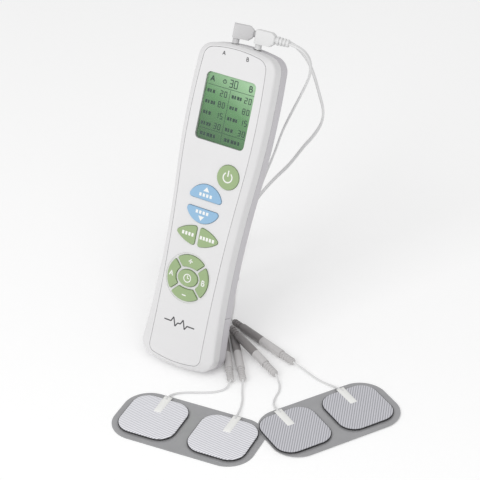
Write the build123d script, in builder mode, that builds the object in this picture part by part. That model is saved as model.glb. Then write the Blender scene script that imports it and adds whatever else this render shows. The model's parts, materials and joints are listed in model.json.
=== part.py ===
"""TENS unit: a hand-held stimulator on its fold-out stand, with two leads and four electrode pads.

Millimetres, +Z up. The handset leans back on its stand; its lead wires lie behind it and its pads in
front of it, on the same table. The origin is on the table, under the middle of the whole set.
"""

import os
from math import asin, atan2, cos, degrees, pi, radians, sin, tan

from build123d import *

# ---- the handset's pose on the table -------------------------------------------------------------
turn = -32.0  # about the vertical, so that the face looks to one side
lean = 22.5  # back from the vertical
table_shift = Vector(-50.5, 8.47, 0)  # moves the hand-placed layout so that the origin is under its middle
contact = Vector(5.1, 2.9, 0) + table_shift  # where the rounded lower rear edge touches the table

# ---- the handset's case --------------------------------------------------------------------------
length = 206.0
thickness = 23.0
seam = 10.75  # depth of the joint between the front and rear shells, below the face
shell_gap = 0.3  # the visible line between two casings
wall = 1.8
back_fillet = 6.0
foot_fillet = 12.0  # the rounded lower rear edge that the handset stands on
flank_drop = 2.8  # how far the sloping flanks fall from the face to the side wall
plate_thick = 1.2
groove = 0.3  # line around the face plate
deck = 2.6  # depth of the underside of the front wall

# ---- keys ----------------------------------------------------------------------------------------
key_rise = 0.9
key_travel = 0.7
key_clearance = 0.25
flange_rim = 0.5
flange_thick = 0.8
ring_center = (-1.3, 58.0)
ring_radius = 14.7
hub_size = (7.1, 5.35, 4.4)  # half width, half height and end radius of an oval
hub_gap = 1.7
hub_corner = 8.1  # where the ring keys begin, along the slots between them
ring_gap = 1.8

# ---- display -------------------------------------------------------------------------------------
window = (35.3, 42.2)
window_center = (0.4, 166.0)
window_corner = 3.0
glass = (39.0, 48.0, 1.8)
backlight = (38.0, 47.0, 1.9)

# ---- inside --------------------------------------------------------------------------------------
board_depth = 6.4
board_thick = 1.6
jack_offset = 8.0
jack_size = (7.4, 13.0, 5.4)  # across, along, deep
jack_bore = 2.6
plug_pin = 2.5
door_line = 37.5  # height of the upper edge of the battery door
door_wall = 1.2
door_travel = 38.0
cell_diameter, cell_length = 10.5, 43.0
cell_depth = 12.4
cell_pitch = 10.6
first_cell = 11.1

# ---- stand ---------------------------------------------------------------------------------------
leg_width = 9.0
leg_thick = 2.6
leg_center = -6.5
leg_open = 27.77  # degrees from folded to the table
pin_height, pin_depth = 90.0, 21.2
foot_round = 1.4
pin_radius = 0.9
channel_depth = 3.6
channel_width = leg_width + 1.0
channel_foot = 8.0  # height of the channel's lower end

# ---- leads and pads ------------------------------------------------------------------------------
lead_width = 3.0
wire_width = 1.4
pigtail_width = 1.3
plug_reach = 18.8
plug_neck = 4.2
handle_diameter = 5.5
handle_end = 4.5
coil_radius = 16.5
coil_bundle = 9.0
pad_side = 38.0
pad_corner = 11.0
liner_thick = 0.4
gel_thick = 0.8
film_thick = 0.3
cover_thick = 0.8

os.makedirs("parts", exist_ok=True)

# ---- directions and planes of the leaning handset ------------------------------------------------
across = Vector(cos(radians(turn)), sin(radians(turn)), 0)
behind = Vector(-sin(radians(turn)), cos(radians(turn)), 0)
up = Vector(0, 0, 1)
along = behind * sin(radians(lean)) + up * cos(radians(lean))
outward = up * sin(radians(lean)) - behind * cos(radians(lean))
# the middle of the foot fillet stands foot_fillet above the contact line
foot_middle = contact + up * foot_fillet
face_origin = foot_middle - along * foot_fillet + outward * (thickness - foot_fillet)


def spot(u, v, depth=0.0):
    """Point of the handset: across, along from its lower end, and below its face."""
    return face_origin + across * u + along * v - outward * depth


def level(depth):
    """Plane parallel to the face; sketches on it use (across, along)."""
    return Plane(origin=spot(0, 0, depth), x_dir=across, z_dir=outward)


def cross_section(v):
    """Plane across the handset; sketches on it use (across, depth)."""
    return Plane(origin=spot(0, v), x_dir=across, z_dir=along)


def long_section(u):
    """Plane along the handset; sketches on it use (along, minus depth)."""
    return Plane(origin=spot(u, 0), x_dir=along, z_dir=across)


def save(piece, name):
    piece.part.label = name
    export_step(piece.part, f"parts/{name}.step")


# ---- outlines, drawn in (across, along) ----------------------------------------------------------
def waisted(top, widest, shoulder, foot, crown, base, top_corner, foot_corner):
    """A waisted outline with arched ends; the first four are (half width, height) of its right side."""
    with BuildSketch() as sketch:
        with BuildLine():
            head = ThreePointArc(top, widest, shoulder)
            TangentArc(shoulder, foot, tangent=head % 1)
            mirror(about=Plane.YZ)
            ThreePointArc(foot, (0, base), (-foot[0], foot[1]))
            ThreePointArc(top, (0, crown), (-top[0], top[1]))
        make_face()
        fillet(sketch.vertices().group_by(Axis.Y)[-1], top_corner)
        fillet(sketch.vertices().group_by(Axis.Y)[0], foot_corner)
    return sketch.sketch


def case_outline(margin=0.0):
    """The case's outline, drawn in by margin."""
    return waisted(
        (26.9 - margin, length - 3.7 - margin), (28.2 - margin, 156), (26.3 - margin, 119),
        (27.4 - margin, 3.7 + margin), length - margin, margin, 10 - margin, 9 - margin,
    )


def plate_outline(margin=0.0):
    """The face plate's outline, drawn in by margin."""
    return waisted(
        (21.6 - margin, length - 5.2 - margin), (23.5 - margin, 156), (22.0 - margin, 121),
        (18.9 - margin, 6.0 + margin), length - 2.2 - margin, 3.4 + margin, 7 - margin, 5 - margin,
    )


# ---- key outlines, drawn in (across, along) ------------------------------------------------------
def swollen(outline, amount):
    with BuildSketch() as sketch:
        add(outline)
        offset(amount=amount, kind=Kind.INTERSECTION)
    return sketch.sketch


def round_key():
    with BuildSketch() as sketch:
        with Locations((12.0, 127.0)):
            Circle(7.65)
    return sketch.sketch


def half_moon(flat, height):
    """A half moon above its flat edge, or below it if height is negative."""
    with BuildSketch() as sketch:
        with BuildLine():
            ThreePointArc((-12.6, flat), (-0.5, flat + height), (11.6, flat))
            Line((11.6, flat), (-12.6, flat))
        make_face()
        fillet(sketch.vertices(), 1.8)
    return sketch.sketch


def leaf(side):
    """One half of the eye-shaped pair of keys; side is -1 on the left and 1 on the right."""
    middle, tip, split = 85.5, 15.6, 1.15
    with BuildSketch() as sketch:
        with BuildLine():
            ThreePointArc((-tip, middle), (0, middle + 6.2), (tip, middle))
            ThreePointArc((-tip, middle), (0, middle - 6.2), (tip, middle))
        make_face()
        with Locations((side * -(20 - split), middle)):
            Rectangle(40, 20, mode=Mode.SUBTRACT)
        fillet(sketch.vertices(), 1.5)
    return sketch.sketch.moved(Location((-0.6, 0, 0)))


def oval(half_width, half_height, end_radius):
    """An oval of four tangent arcs."""
    end_x = half_width - end_radius
    side_radius = (half_width**2 + half_height**2 - 2 * half_width * end_radius) / (2 * (half_height - end_radius))
    side_y = side_radius - half_height
    meet = degrees(atan2(side_y, end_x))
    with BuildSketch() as sketch:
        with BuildLine():
            CenterArc((end_x, 0), end_radius, -meet, 2 * meet)
            CenterArc((0, -side_y), side_radius, meet, 180 - 2 * meet)
            CenterArc((-end_x, 0), end_radius, 180 - meet, 2 * meet)
            CenterArc((0, side_y), side_radius, 180 + meet, 180 - 2 * meet)
        make_face()
    return sketch.sketch


def ring_key(direction, inner):
    """A quarter of the ring around the time key; inner is its least distance from the ring's centre."""
    beside_slot = Vector(hub_corner, ring_gap / 2).rotate(Axis.Z, -45)
    with BuildSketch() as sketch:
        with BuildLine():
            edge = 45 - degrees(asin(ring_gap / 2 / ring_radius))
            outer = CenterArc((0, 0), ring_radius, -edge, 2 * edge)
            ThreePointArc(beside_slot, (inner, 0), (beside_slot.X, -beside_slot.Y))
            Line(outer @ 0, beside_slot)
            Line(outer @ 1, (beside_slot.X, -beside_slot.Y))
        make_face()
        fillet(sketch.vertices(), 0.8)
    return sketch.sketch.moved(Location((*ring_center, 0), (0, 0, direction)))


def hub_key():
    return oval(*hub_size).moved(Location((*ring_center, 0)))


key_outlines = {
    "key_power": round_key(),
    "key_mode_up": half_moon(109.0, 9.8),
    "key_mode_down": half_moon(103.4, -9.3),
    "key_weak": leaf(-1),
    "key_strong": leaf(1),
    "key_speed_up": ring_key(90, hub_size[1] + hub_gap),
    "key_speed_down": ring_key(270, hub_size[1] + hub_gap),
    "key_channel_a": ring_key(180, hub_size[0] + hub_gap),
    "key_channel_b": ring_key(0, hub_size[0] + hub_gap),
    "key_time": hub_key(),
}


# ---- solids shared by the casings ----------------------------------------------------------------
def rear_block(margin):
    """The rear half of the case, rounded at the back and at the foot, drawn in by margin."""
    with BuildPart() as block:
        with BuildSketch(level(seam + shell_gap / 2)):
            add(case_outline(margin))
        extrude(amount=-(thickness - seam - shell_gap / 2 - margin))
        back = block.faces().sort_by(Axis(spot(0, 0), outward))[0]
        fillet(back.edges(), back_fillet - margin)
        with BuildSketch(long_section(0)):
            with BuildLine():
                reach = foot_fillet - margin
                Polyline((300, 0), (margin, 0), (margin, -(thickness - foot_fillet)))
                CenterArc((foot_fillet, foot_fillet - thickness), reach, 180, 90)
                Polyline((foot_fillet, margin - thickness), (300, margin - thickness), (300, 0))
            make_face()
        extrude(amount=40, both=True, mode=Mode.INTERSECT)
    return block.part


# ================================ casings =========================================================
screw_spots = [(-19.4, 62.0), (19.4, 62.0), (-20.3, 194.6), (20.3, 194.6)]
board_screw_spots = [(-21.0, 138.0), (21.0, 138.0), (-17.8, 44.0), (17.8, 44.0)]
board_screw = 0.85
screw_head = 2.4
screw_shaft = 1.1

with BuildPart() as front_shell:
    with BuildSketch(level(seam - shell_gap / 2)):
        add(case_outline())
    extrude(amount=seam - shell_gap / 2 - flank_drop)
    with BuildSketch(level(flank_drop)):
        add(case_outline())
    with BuildSketch(level(0)):
        add(plate_outline(-0.8))
    loft(ruled=True)
    brow = front_shell.edges().filter_by(lambda e: abs((e.center() - spot(0, 0)).dot(outward) + flank_drop) < 0.02)
    fillet(brow, 2.2)
    with BuildSketch(level(seam - shell_gap / 2)):
        add(case_outline(1.5))
    extrude(amount=seam - shell_gap / 2 - 5.2, mode=Mode.SUBTRACT)
    with BuildSketch(level(5.2)):
        add(case_outline(4.2))
    extrude(amount=5.2 - deck, mode=Mode.SUBTRACT)
    with BuildSketch(level(0)):
        add(plate_outline(-groove))
    extrude(amount=-plate_thick, mode=Mode.SUBTRACT)
    with BuildSketch(level(0)):
        for outline in key_outlines.values():
            add(swollen(outline, key_clearance))
        with Locations(window_center):
            RectangleRounded(window[0], window[1], window_corner)
    extrude(amount=-deck - 1, mode=Mode.SUBTRACT)
    with BuildSketch(level(deck)):
        with Locations(*screw_spots):
            Circle(2.6)
    extrude(amount=-(board_depth - deck))
    with BuildSketch(level(board_depth)):
        with Locations(*screw_spots):
            Circle(screw_shaft + 0.05)
    extrude(amount=board_depth - deck, mode=Mode.SUBTRACT)
    with BuildSketch(level(deck)):
        with Locations(*board_screw_spots):
            Circle(2.2)
            Circle(board_screw + 0.05, mode=Mode.SUBTRACT)
    extrude(amount=-(board_depth - deck))
    with BuildSketch(cross_section(length - 8)):
        with Locations((-jack_offset, seam), (jack_offset, seam)):
            Circle(2.6)
    extrude(amount=12, mode=Mode.SUBTRACT)

with BuildPart() as face_plate:
    with BuildSketch(level(plate_thick)):
        add(plate_outline())
    extrude(amount=plate_thick)
    with BuildSketch(level(0)):
        for outline in key_outlines.values():
            add(swollen(outline, key_clearance))
        with Locations(window_center):
            RectangleRounded(window[0], window[1], window_corner)
    extrude(amount=-plate_thick, mode=Mode.SUBTRACT)
    with BuildSketch(level(0)):
        with Locations(ring_center):
            Circle(ring_radius + 1.4)
    extrude(amount=-0.35, mode=Mode.SUBTRACT)

with BuildPart() as rear_shell:
    add(rear_block(0))
    add(rear_block(wall), mode=Mode.SUBTRACT)
    split(bisect_by=cross_section(door_line), keep=Keep.TOP)
    # a floor under the stand's channel, then the channel and the hinge pocket cut into it
    with BuildSketch(level(thickness - channel_depth - 1.2)):
        with Locations((leg_center, (door_line + pin_height + 6) / 2)):
            Rectangle(channel_width + 2.4, pin_height - door_line + 6)
    extrude(amount=-(channel_depth + 0.4))
    with BuildSketch(level(thickness + 1)):
        with Locations((leg_center, (door_line + pin_height) / 2)):
            Rectangle(channel_width, pin_height - door_line + 8)
    extrude(amount=channel_depth + 1, mode=Mode.SUBTRACT)
    with BuildSketch(level(pin_depth)):
        with Locations((leg_center, pin_height)):
            Rectangle(channel_width + 6.4, 5.0)
    extrude(amount=1.6, both=True)
    with BuildSketch(level(thickness + 1)):
        with Locations((leg_center, pin_height)):
            Rectangle(channel_width, 9.0)
    extrude(amount=channel_depth + 2.2, mode=Mode.SUBTRACT)
    with BuildSketch(level(thickness - channel_depth - 2.2)):
        with Locations((leg_center, pin_height)):
            Rectangle(channel_width + 2.4, 11.4)
    extrude(amount=-1.0)
    with BuildSketch(long_section(leg_center)):
        with Locations((pin_height, -pin_depth)):
            Circle(pin_radius)
    extrude(amount=channel_width / 2 + 2.0, both=True, mode=Mode.SUBTRACT)
    # screw pillars with counterbores from the back
    with BuildSketch(level(board_depth + board_thick)):
        with Locations(*screw_spots):
            Circle(3.2)
    extrude(amount=-(thickness - board_depth - board_thick - 1.0))
    with BuildSketch(level(thickness + 1)):
        with Locations(*screw_spots):
            Circle(screw_head + 0.2)
    extrude(amount=8.0, mode=Mode.SUBTRACT)
    with BuildSketch(level(thickness)):
        with Locations(*screw_spots):
            Circle(screw_shaft + 0.05)
    extrude(amount=thickness, mode=Mode.SUBTRACT)
    with BuildSketch(cross_section(length - 8)):
        with Locations((-jack_offset, seam), (jack_offset, seam)):
            Circle(2.6)
    extrude(amount=12, mode=Mode.SUBTRACT)

with BuildPart() as battery_door:
    add(rear_block(0))
    add(rear_block(door_wall), mode=Mode.SUBTRACT)
    split(bisect_by=cross_section(door_line - 0.25), keep=Keep.BOTTOM)
    with BuildSketch(level(thickness - channel_depth - 1.0)):
        with Locations((leg_center, (channel_foot - 1.2 + door_line - 0.25) / 2)):
            Rectangle(channel_width + 2.0, door_line - 0.25 - channel_foot + 1.2)
    extrude(amount=-(channel_depth + 0.6))
    add(rear_block(0), mode=Mode.INTERSECT)
    with BuildSketch(level(thickness + 1)):
        with Locations((leg_center, (channel_foot + door_line) / 2)):
            Rectangle(channel_width, door_line - channel_foot)
    extrude(amount=channel_depth + 1, mode=Mode.SUBTRACT)

# ================================ display and keys ================================================
with BuildPart() as display_lens:
    with BuildSketch(level(deck)):
        with Locations(window_center):
            RectangleRounded(window[0] - 0.2, window[1] - 0.2, window_corner - 0.1)
    extrude(amount=deck - 0.15)

with BuildPart() as lcd_panel:
    with BuildSketch(level(deck)):
        with Locations(window_center):
            Rectangle(glass[0], glass[1])
    extrude(amount=-glass[2])

with BuildPart() as backlight_panel:
    with BuildSketch(level(deck + glass[2])):
        with Locations(window_center):
            Rectangle(backlight[0], backlight[1])
    extrude(amount=-(board_depth - deck - glass[2]))

keys = {}
for key_name, key_outline in key_outlines.items():
    with BuildPart() as key:
        with BuildSketch(level(deck + key_clearance)):
            add(key_outline)
        extrude(amount=deck + key_clearance + key_rise)
        crown_face = key.faces().sort_by(Axis(spot(0, 0), outward))[-1]
        fillet(crown_face.edges(), 0.45)
        with BuildSketch(level(deck + key_clearance)):
            add(swollen(key_outline, flange_rim))
        extrude(amount=-flange_thick)
    keys[key_name] = key

mat_depth = deck + key_clearance + flange_thick + key_travel + 0.3
with BuildPart() as key_mat:
    with BuildSketch(level(board_depth)):
        with Locations((0, 90.0)):
            RectangleRounded(30.0, 96.0, 3.0)
    extrude(amount=0.8)
    with BuildSketch(level(board_depth - 0.8)):
        for key_outline in key_outlines.values():
            with Locations(key_outline.bounding_box().center()):
                Circle(1.8)
    extrude(amount=board_depth - 0.8 - mat_depth)

# ================================ electronics =====================================================
with BuildPart() as circuit_board:
    with BuildSketch(level(board_depth)):
        add(case_outline(3.0))
        with Locations((0, door_line / 2)):
            Rectangle(80, door_line + 4, mode=Mode.SUBTRACT)
        with Locations((0, length)):
            Rectangle(80, 14.0, mode=Mode.SUBTRACT)
        with Locations(*screw_spots):
            Circle(screw_shaft + 0.4, mode=Mode.SUBTRACT)
        with Locations(*board_screw_spots):
            Circle(board_screw + 0.05, mode=Mode.SUBTRACT)
    extrude(amount=-board_thick)

board_back = board_depth + board_thick


def jack(side):
    """A jack socket soldered under the board, its nose reaching up to the top of the case."""
    nose_end = length - 0.6
    body_end = length - 4.0
    with BuildPart() as socket:
        with BuildSketch(level(board_back)):
            with Locations((side * jack_offset, body_end - jack_size[1] / 2)):
                Rectangle(jack_size[0], jack_size[1])
        extrude(amount=-jack_size[2])
        with BuildSketch(cross_section(body_end)):
            with Locations((side * jack_offset, seam)):
                Circle(2.4)
        extrude(amount=nose_end - body_end)
        with BuildSketch(cross_section(nose_end)):
            with Locations((side * jack_offset, seam)):
                Circle(jack_bore / 2)
        extrude(amount=-13.0, mode=Mode.SUBTRACT)
    return socket


jack_socket_a = jack(-1)
jack_socket_b = jack(1)

with BuildPart() as output_transformers:
    with BuildSketch(level(board_back)):
        with Locations((-9.0, 172.0), (9.0, 172.0)):
            Rectangle(12.0, 12.0)
    extrude(amount=-2.0)
    with BuildSketch(level(board_back + 2.0)):
        with Locations((-9.0, 172.0), (9.0, 172.0)):
            RectangleRounded(9.0, 11.0, 1.5)
    extrude(amount=-6.0)
    with BuildSketch(level(board_back + 8.0)):
        with Locations((-9.0, 172.0), (9.0, 172.0)):
            Rectangle(12.0, 12.0)
    extrude(amount=-1.4)

with BuildPart() as board_chips:
    with BuildSketch(level(board_back)):
        with Locations((0, 148.0)):
            Rectangle(14.0, 14.0)
        with Locations((-10.0, 124.0), (8.0, 122.0)):
            Rectangle(6.0, 10.0)
    extrude(amount=-1.6)

with BuildPart() as buzzer:
    with BuildSketch(level(board_back)):
        with Locations((12.0, 104.0)):
            Circle(6.0)
    extrude(amount=-6.5)
    with BuildSketch(level(board_back + 6.5)):
        with Locations((12.0, 104.0)):
            Circle(1.2)
    extrude(amount=2.0, mode=Mode.SUBTRACT)

with BuildPart() as board_screws:
    with BuildSketch(level(board_back)):
        with Locations(*board_screw_spots):
            Circle(1.8)
    extrude(amount=-1.2)
    with BuildSketch(level(board_back)):
        with Locations(*board_screw_spots):
            Circle(board_screw)
    extrude(amount=board_thick + 3.4)

with BuildPart() as case_screws:
    with BuildSketch(level(thickness - 7.0)):
        with Locations(*screw_spots):
            Circle(screw_head)
    extrude(amount=-2.0)
    with BuildSketch(level(thickness - 7.0)):
        with Locations(*screw_spots):
            Circle(screw_shaft)
    extrude(amount=thickness - 7.0 - deck - 0.4)
    with BuildSketch(level(thickness - 5.0)):
        with Locations(*screw_spots):
            Rectangle(2.8, 0.7)
            Rectangle(0.7, 2.8)
    extrude(amount=1.0, mode=Mode.SUBTRACT)

# ================================ batteries =======================================================
tray_half = 22.95
tray_wall = 0.6
cell_spots = [first_cell + cell_pitch * row for row in range(3)]
tray_foot = first_cell - 6.0
tray_top = cell_spots[-1] + 6.2
tray_front = cell_depth - cell_diameter / 2 - 0.2

with BuildPart() as battery_tray:
    with BuildSketch(level(tray_front - 1.0)):
        with Locations((0, (tray_foot + tray_top) / 2)):
            Rectangle(2 * tray_half, tray_top - tray_foot)
        with Locations((-tray_half, tray_foot), (tray_half, tray_foot)):
            Rectangle(12.0, 8.0, mode=Mode.SUBTRACT)
    extrude(amount=-1.0)
    with BuildSketch(level(tray_front)):
        for side in (-1, 1):
            with Locations((side * (tray_half - tray_wall / 2), (tray_foot + 5.0 + tray_top) / 2)):
                Rectangle(tray_wall, tray_top - tray_foot - 5.0)
        with Locations((0, tray_top - 0.4)):
            Rectangle(2 * tray_half, 0.8)
        for row in (0, 1):
            with Locations((0, (cell_spots[row] + cell_spots[row + 1]) / 2)):
                Rectangle(30.0, 0.08)
    extrude(amount=-6.0)

with BuildPart() as batteries:
    with BuildSketch(long_section(-cell_length / 2)):
        for row in cell_spots:
            with Locations((row, -cell_depth)):
                Circle(cell_diameter / 2 - 0.1)
    extrude(amount=cell_length - 1.0)
    with BuildSketch(long_section(cell_length / 2 - 1.0)):
        for row in cell_spots:
            with Locations((row, -cell_depth)):
                Circle(1.9)
    extrude(amount=1.0)

contact_thick = 0.25
with BuildPart() as battery_contacts:
    for inner_face, thick in ((-tray_half + tray_wall, contact_thick), (cell_length / 2 + 0.02, 0.8)):
        with BuildSketch(long_section(inner_face)):
            with Locations(*[(row, -cell_depth) for row in cell_spots]):
                Rectangle(8.0, 8.0)
        extrude(amount=thick)

with BuildPart() as battery_springs:
    spring_middle = (-cell_length / 2 - tray_half + tray_wall + contact_thick) / 2
    for row in cell_spots:
        for coil_size in (3.2, 2.0):
            with Locations(Plane(origin=spot(spring_middle, row, cell_depth), z_dir=across)):
                Torus(coil_size, 0.27)

# ================================ stand ===========================================================
hinge = spot(leg_center, pin_height, pin_depth)
leg_length = (hinge.Z - foot_round) / cos(radians(leg_open - lean))
leg_direction = -along * cos(radians(leg_open)) - outward * sin(radians(leg_open))
leg_plane = Plane(origin=hinge, x_dir=leg_direction, z_dir=across)

with BuildPart() as rear_stand:
    with BuildSketch(leg_plane):
        Circle(1.9)
        with Locations((leg_length / 2, 0)):
            Rectangle(leg_length, leg_thick)
        with Locations((leg_length, 0)):
            Circle(foot_round)
        Circle(pin_radius + 0.05, mode=Mode.SUBTRACT)
    extrude(amount=leg_width / 2, both=True)
    # a shallow panel in the rear face and a finger notch near the foot
    with BuildSketch(Plane(origin=hinge + across.cross(leg_direction) * leg_thick / 2, x_dir=leg_direction,
                           z_dir=across.cross(leg_direction))):
        with Locations((leg_length / 2, 0)):
            RectangleRounded(leg_length - 22, leg_width - 4, 2.0)
    extrude(amount=-0.6, mode=Mode.SUBTRACT)

with BuildPart() as stand_pin:
    with BuildSketch(leg_plane):
        Circle(pin_radius)
    extrude(amount=channel_width / 2 + 1.8, both=True)

# ================================ plugs ===========================================================
neck_height = 3.6
block_base, block_top, block_half = 3.4, 12.2, 3.1
plug_height = 8.0
relief_start = 9.8


def plug_direction(swing):
    """The way a right-angle plug points: swing degrees from straight across towards the rear."""
    return across * cos(radians(swing)) - outward * sin(radians(swing))


def plug_body(side, swing):
    """Moulded body: neck, block tapered towards the lead, ribbed strain relief."""
    axis_point = spot(side * jack_offset, length, seam)
    pointing = plug_direction(swing)
    with BuildPart() as body:
        with BuildSketch(Plane(origin=axis_point + along * 0.1, x_dir=pointing, z_dir=along)):
            Circle(plug_neck / 2)
        extrude(amount=neck_height)
        with BuildSketch(Plane(origin=axis_point, x_dir=pointing, z_dir=pointing.cross(along))):
            with BuildLine():
                Polyline(
                    (-2.7, block_base), (7.4, block_base), (relief_start, plug_height - 2.5),
                    (relief_start, plug_height + 2.5), (7.4, block_top), (-2.7, block_top),
                    close=True,
                )
            make_face()
        extrude(amount=block_half, both=True)
        block_edges = body.edges().filter_by(lambda edge: edge.length > 6.2 or edge.length < 5.3)
        fillet(block_edges.filter_by(lambda edge: (edge.center() - axis_point).dot(along) > neck_height), 0.9)
        relief = Plane(origin=axis_point + along * plug_height, x_dir=along, z_dir=pointing)
        with BuildSketch(relief.offset(relief_start)):
            Circle(2.1)
        with BuildSketch(relief.offset(plug_reach)):
            Circle(1.75)
        loft()
        for rib in range(4):
            with BuildSketch(relief.offset(relief_start + 1.2 + 2.1 * rib)):
                Circle(2.75 - 0.12 * rib)
            extrude(amount=1.15)
    return body


def plug_tip(side):
    """Metal pin with a rounded tip and a groove behind it."""
    with BuildPart() as tip:
        with BuildSketch(cross_section(length + 0.1)):
            with Locations((side * jack_offset, seam)):
                Circle(plug_pin / 2)
        extrude(amount=-11.2)
        fillet(tip.faces().sort_by(Axis(spot(0, 0), along))[0].edges(), 0.9)
        with BuildSketch(cross_section(length - 8.0)):
            with Locations((side * jack_offset, seam)):
                Circle(plug_pin / 2 + 0.1)
                Circle(plug_pin / 2 - 0.35, mode=Mode.SUBTRACT)
        extrude(amount=-0.7, mode=Mode.SUBTRACT)
    return tip


swing_a, swing_b = 31.0, 12.0
plug_a, plug_b = plug_body(-1, swing_a), plug_body(1, swing_b)
plug_pin_a, plug_pin_b = plug_tip(-1), plug_tip(1)


# ================================ leads, wires and pigtails =======================================
def lead_exit(side, swing):
    return spot(side * jack_offset, length + plug_height, seam) + plug_direction(swing) * plug_reach


def cord(name, route, width):
    """Tube along straight runs joined by tangent arcs as large as the runs allow."""
    radii = []
    for before, corner, after in zip(route, route[1:], route[2:]):
        arrive, leave = corner - before, after - corner
        half_turn = radians(arrive.get_angle(leave)) / 2
        radii.append(0.45 * min(arrive.length, leave.length) / tan(half_turn))
    with BuildPart() as tube:
        with BuildLine():
            line = FilletPolyline(*route, radius=radii)
        with BuildSketch(Plane(origin=line @ 0, z_dir=line % 0)):
            Circle(width / 2)
        sweep(path=line)
    expected = line.length * pi * width**2 / 4
    print(name, "length", round(line.length, 1), "volume ratio", round(tube.part.volume / expected, 4),
          "radii", [round(radius, 1) for radius in radii])
    return tube


def on_table(points):
    return [Vector(*point) + table_shift for point in points]


lead_a_route = [lead_exit(-1, swing_a)] + on_table([
    (66.0, 70.6, 193.4), (74.5, 68.6, 190.6), (81.7, 67.1, 182.0), (85.9, 67.0, 171.3), (89.8, 69.0, 156.0),
    (92.9, 71.3, 143.0), (92.0, 75.0, 132.5), (87.5, 80.5, 120.5), (81.3, 87.0, 108.8), (72.9, 97.0, 89.3),
    (63.3, 107.0, 72.8), (54.5, 115.5, 56.0), (47.5, 120.0, 41.0), (40.5, 122.2, 28.5), (32.5, 122.9, 17.5),
    (22.0, 122.6, 9.4),
])
lead_b_route = [lead_exit(1, swing_b)] + on_table([
    (76.8, 54.7, 196.0), (82.3, 53.2, 189.7), (83.6, 54.2, 180.5), (81.0, 57.5, 169.5), (73.5, 64.0, 148.8),
    (66.9, 71.0, 129.2), (62.8, 77.5, 110.5), (56.6, 85.0, 88.5), (50.5, 89.0, 66.0), (44.0, 88.7, 47.0),
    (36.5, 85.5, 30.5), (27.5, 80.0, 18.0), (16.0, 75.8, 9.4),
])
lead_a = cord("lead_a", lead_a_route, lead_width)
lead_b = cord("lead_b", lead_b_route, lead_width)

coil_centers = {"lead_coil_a": (18.0, 139.0), "lead_coil_b": (10.0, 92.0)}
coil_height = 5.3
coils = {}
for coil_name, (coil_x, coil_y) in coil_centers.items():
    middle = Vector(coil_x, coil_y, 0) + table_shift
    with BuildPart() as coil:
        with BuildSketch(Plane(origin=middle, x_dir=(1, 0, 0), z_dir=(0, -1, 0))):
            with Locations((coil_radius, coil_height)):
                RectangleRounded(coil_bundle, coil_bundle + 0.4, 3.4)
        revolve(axis=Axis(middle, (0, 0, 1)))
    coils[coil_name] = coil

with BuildPart() as coil_ties:
    for coil_x, coil_y in coil_centers.values():
        for angle in (150, 250):
            radial = Vector(cos(radians(angle)), sin(radians(angle)), 0)
            tie_middle = Vector(coil_x, coil_y, coil_height) + radial * coil_radius + table_shift
            with BuildSketch(Plane(origin=tie_middle, x_dir=radial, z_dir=radial.cross(up))):
                RectangleRounded(coil_bundle + 1.5, coil_bundle + 1.5, 3.8)
                RectangleRounded(coil_bundle + 0.5, coil_bundle + 0.7, 3.5, mode=Mode.SUBTRACT)
            extrude(amount=1.5, both=True)

yoke_spots = [(38.3, 122.5), (30.4, 75.5)]
yoke_size = (5.2, 9.0, 3.4)
with BuildPart() as lead_yokes:
    for yoke_x, yoke_y in yoke_spots:
        with BuildSketch(Plane(origin=Vector(yoke_x, yoke_y, 0.05) + table_shift)):
            RectangleRounded(yoke_size[0], yoke_size[1], 1.6)
        extrude(amount=yoke_size[2])
    fillet(lead_yokes.faces().filter_by(Axis.Z).edges(), 0.8)

wire_routes = {
    "branch_wire_1": on_table([
        (39.4, 118.0, 1.7), (39.2, 108.0, 0.9), (37.9, 97.0, 0.75), (37.0, 85.0, 0.75), (36.7, 72.5, 0.75),
        (36.3, 62.0, 0.75), (35.6, 54.0, 0.8), (34.9, 48.3, 1.1), (35.1, 44.3, 1.9), (36.4, 41.5, 2.25),
    ]),
    "branch_wire_2": on_table([
        (37.2, 118.0, 1.7), (36.9, 107.0, 0.9), (35.7, 96.0, 0.75), (34.9, 84.0, 0.75), (34.6, 72.5, 0.75),
        (34.2, 63.0, 0.9), (33.2, 54.5, 2.6), (31.9, 46.5, 6.4), (30.9, 38.5, 9.2), (31.2, 31.3, 9.8),
        (34.4, 25.8, 8.9),
    ]),
    "branch_wire_3": on_table([
        (31.5, 71.0, 1.7), (31.6, 63.0, 0.9), (31.6, 55.0, 0.75), (32.7, 48.5, 0.8), (33.6, 43.0, 1.3),
        (34.4, 38.8, 2.1), (35.2, 34.9, 2.25),
    ]),
    "branch_wire_4": on_table([
        (29.3, 71.0, 1.7), (29.4, 63.0, 0.9), (28.9, 55.5, 0.75), (30.2, 49.3, 0.8), (31.3, 43.2, 1.2),
        (30.6, 38.2, 2.0), (29.3, 33.5, 2.4),
    ]),
}
wires = {wire_name: cord(wire_name, route, wire_width) for wire_name, route in wire_routes.items()}

# ---- pin handles and pigtail sockets, each pair along one line from its rear to its tip ----------
connectors = [
    on_table([(36.4, 41.5, 2.85), (74.1, -2.6, 2.8)]),
    on_table([(34.4, 25.8, 8.9), (62.7, -15.3, 2.8)]),
    on_table([(35.2, 34.9, 2.85), (42.2, -20.8, 2.8)]),
    on_table([(29.3, 33.5, 2.85), (34.5, -21.2, 2.8)]),
]
rear_relief = 9.0
handle_split = 28.0
front_relief = 11.0


def along_connector(ends, reach):
    """Plane across a connector, reach from its rear end, or from its tip if reach is negative."""
    run = ends[1] - ends[0]
    base = ends[0] if reach >= 0 else ends[1]
    return Plane(origin=base + run.normalized() * reach, z_dir=run)


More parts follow.
